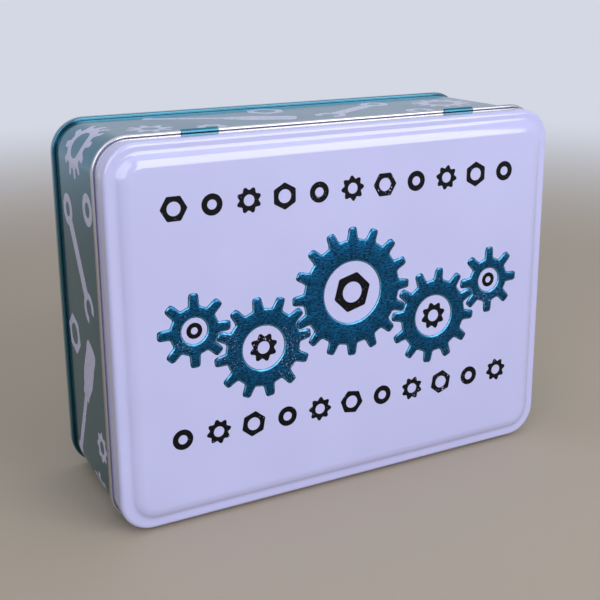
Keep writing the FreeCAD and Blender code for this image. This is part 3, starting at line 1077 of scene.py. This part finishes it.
class TIN_OT_wall_print(Operator):
    """Prints the pale motifs on the wall: cogs, nuts, washers and hand tools in a repeat round the tin"""

    bl_idname = "tin.wall_print"
    bl_label = "Pale wall motifs"

    REPEATS = 4
    START = 85.0

    def execute(self, context):
        sizes, sheet = context.scene.tin_print, context.scene.tin_sheet
        surface, girth = wall_surface(sheet)
        motifs = Motifs(surface, sizes.ink_raise, sizes.ink_sink, steps=9)
        for repeat in range(self.REPEATS):
            self.add_repeat(motifs, self.START * MM + girth * repeat / self.REPEATS)
        motifs.piece(context, "wall_motifs", "pale_ink", "tin_body", "printed_wall")
        return {"FINISHED"}

    def add_repeat(self, motifs, begin):
        """One repeat of the print: outlines, holes, runs and levels in millimetres, turns in degrees."""

        def at(run, level):
            return (begin + run * MM, level * MM)

        motifs.ring(cog_outline(12.0 * MM, 12, 1.9 * MM), 6.0 * MM, at(14, 30), 8.0)
        motifs.ring(circle(6.4 * MM, 72), 3.0 * MM, at(37, 47))
        self.add_spanner(motifs, at(60, 29), 33.0)
        motifs.ring(nut_outline(8.8 * MM), 4.6 * MM, at(96, 15), 12.0)
        motifs.strip(driver_rows(64.0 * MM), at(122, 26), -27.0)
        motifs.ring(star_outline(6.6 * MM), 2.8 * MM, at(134, 47))
        motifs.ring(cog_outline(7.6 * MM, 8, 1.7 * MM), 3.4 * MM, at(157, 40))

    def add_spanner(self, motifs, place, angle):
        """A spanner: an open head, a ring head and a hollow-ended shank, end to end along its axis."""
        reach, head, half = 21.0 * MM, 6.6 * MM, 3.0 * MM
        motifs.strip(sector_rows((reach, 0), 3.6 * MM, head, 42, 318), place, angle)
        motifs.strip(sector_rows((-reach, 0), 3.0 * MM, head, 0, 359.9), place, angle)
        motifs.strip(shank_rows(-reach, reach, head, half), place, angle)


def seen_rays(tree):
    """1 for what the camera sees, straight or in a reflection, and 0 for light that falls on a surface."""
    rays = add_node(tree, "ShaderNodeLightPath").outputs
    seen = calculate(tree, "MAXIMUM", rays["Is Camera Ray"], rays["Is Glossy Ray"])
    return calculate(tree, "MAXIMUM", seen, rays["Is Transmission Ray"])


class TIN_OT_stage(Operator):
    """Sets the stage: a pale floor, three soft lights, the surround and the camera"""

    bl_idname = "tin.stage"
    bl_label = "Floor, lights and camera"

    FLOOR_HALF = 14
    FADE = (0.35, 1.2)

    def execute(self, context):
        stage, colours = context.scene.tin_stage, context.scene.tin_colours
        self.make_floor(context, colours)
        for name, power, *setting in (
            ("window_light", stage.window_power, (1.0, 1.14), 24.0, 21.5, 1.5),
            ("fill_light", stage.fill_power, (1.2, 1.2), -38.0, 25.0, 1.6),
            ("ceiling_light", stage.ceiling_power, (3.0, 3.0), 0.0, 82.0, 2.4),
        ):
            self.make_light(context, name, power, *setting)
        self.make_surround(context, colours, stage)
        self.make_camera(context, stage)
        context.scene.view_settings.view_transform = "Standard"
        return {"FINISHED"}

    def make_floor(self, context, colours):
        """The floor: a flat square grid on which the tin stands. Far off it fades into the surround."""
        count = self.FLOOR_HALF + 1
        reach = np.linspace(-self.FLOOR_HALF, self.FLOOR_HALF, count)
        x, y = np.meshgrid(reach, reach, indexing="ij")
        points = np.stack([x, y, np.zeros_like(x)], axis=-1)
        here = (np.arange(count - 1)[:, None] * count + np.arange(count - 1)).ravel()
        faces = np.stack([here, here + count, here + count + 1, here + 1], axis=-1).tolist()
        mesh = bpy.data.meshes.new("floor")
        mesh.from_pydata(points.reshape(-1, 3).tolist(), [], faces)
        finish = Finish("floor_paper")
        tree = finish.tree
        clouds = noise(tree, finish.place, 3.0)
        finish.put(Base_Color=finish.shaded(colours.floor, 0.985, clouds), Roughness=0.7)
        distance = add_node(tree, "ShaderNodeVectorMath", {0: finish.place}, operation="LENGTH")
        far = spread(tree, distance.outputs["Value"], *self.FADE)
        glow = add_node(tree, "ShaderNodeEmission", {"Color": (*colours.surround, 1.0)}).outputs[0]
        fade = calculate(tree, "MULTIPLY", far, seen_rays(tree))
        layers = {0: fade, 1: finish.shader.outputs[0], 2: glow}
        mixed = add_node(tree, "ShaderNodeMixShader", layers).outputs[0]
        tree.links.new(mixed, tree.nodes["Material Output"].inputs["Surface"])
        mesh.materials.append(finish.material)
        floor = bpy.data.objects.new("floor", mesh)
        context.scene.collection.objects.link(floor)

    def make_light(self, context, name, power, size, bearing, rise, distance):
        """A rectangular light, in metres and degrees.

        It stands at a bearing to the right of the lid's outlook, and at a rise above the tin's middle.
        """
        lamp = bpy.data.lights.new(name, "AREA")
        lamp.shape = "RECTANGLE"
        lamp.size, lamp.size_y = size
        lamp.energy = power
        light = bpy.data.objects.new(name, lamp)
        turn, lift = math.radians(bearing), math.radians(rise)
        out = np.array([math.sin(turn) * math.cos(lift), -math.cos(turn) * math.cos(lift), math.sin(lift)])
        light.location = out * distance + np.array([0, 0, MIDDLE_HEIGHT])
        light.rotation_euler = (math.radians(90) - lift, 0, turn)
        context.scene.collection.objects.link(light)

    def make_surround(self, context, colours, stage):
        """Soft light from all round, seen by the camera and in reflections as a pale surround."""
        world = bpy.data.worlds.new("studio")
        world.use_nodes = True
        context.scene.world = world
        tree = world.node_tree
        strength = spread(tree, seen_rays(tree), 0.0, 1.0, stage.ambient, 1.0)
        background = tree.nodes["Background"].inputs
        fill(tree, background["Color"], (*colours.surround, 1.0))
        fill(tree, background["Strength"], strength)

    def make_camera(self, context, stage):
        """The camera at the photograph's angle, with the shift of its framing."""
        data = bpy.data.cameras.new("camera")
        data.sensor_fit = "HORIZONTAL"
        data.sensor_width = 36.0
        data.lens = stage.focal_pixels * data.sensor_width / IMAGE_SIDE
        data.shift_x = 0.5 - stage.middle_pixels[0] / IMAGE_SIDE
        data.shift_y = stage.middle_pixels[1] / IMAGE_SIDE - 0.5
        data.clip_start = 0.01
        camera = bpy.data.objects.new("camera", data)
        camera.location = stage.camera_place
        camera.rotation_euler = stage.camera_turn
        context.scene.collection.objects.link(camera)
        context.scene.camera = camera


OPERATORS = (
    TIN_OT_lid, TIN_OT_wall, TIN_OT_base, TIN_OT_hinge,
    TIN_OT_foil, TIN_OT_ink, TIN_OT_wall_print, TIN_OT_stage,
)
GROUPS_OF_SIZES = {
    "tin_sheet": TinSheetSizes,
    "tin_hinge": TinHingeSizes,
    "tin_print": TinPrintSizes,
    "tin_colours": TinColours,
    "tin_stage": TinStage,
}


class TIN_PT_panel(Panel):
    """Lists the steps that dress the tin"""

    bl_idname = "TIN_PT_panel"
    bl_label = "Tin box"
    bl_space_type = "VIEW_3D"
    bl_region_type = "UI"
    bl_category = "Tin box"

    def draw(self, context):
        for operator in OPERATORS:
            self.layout.operator(operator.bl_idname)


def register():
    for item in (*GROUPS_OF_SIZES.values(), *OPERATORS, TIN_PT_panel):
        bpy.utils.register_class(item)
    for name, group in GROUPS_OF_SIZES.items():
        setattr(bpy.types.Scene, name, PointerProperty(type=group))


def unregister():
    for name in GROUPS_OF_SIZES:
        delattr(bpy.types.Scene, name)
    for item in (TIN_PT_panel, *reversed(OPERATORS), *reversed(GROUPS_OF_SIZES.values())):
        bpy.utils.unregister_class(item)


def main():
    register()
    bpy.ops.tin.lid()
    bpy.ops.tin.wall()
    bpy.ops.tin.base()
    bpy.ops.tin.hinge()
    bpy.ops.tin.foil()
    bpy.ops.tin.ink()
    bpy.ops.tin.wall_print()
    bpy.ops.tin.stage()


if __name__ == "__main__":
    main()
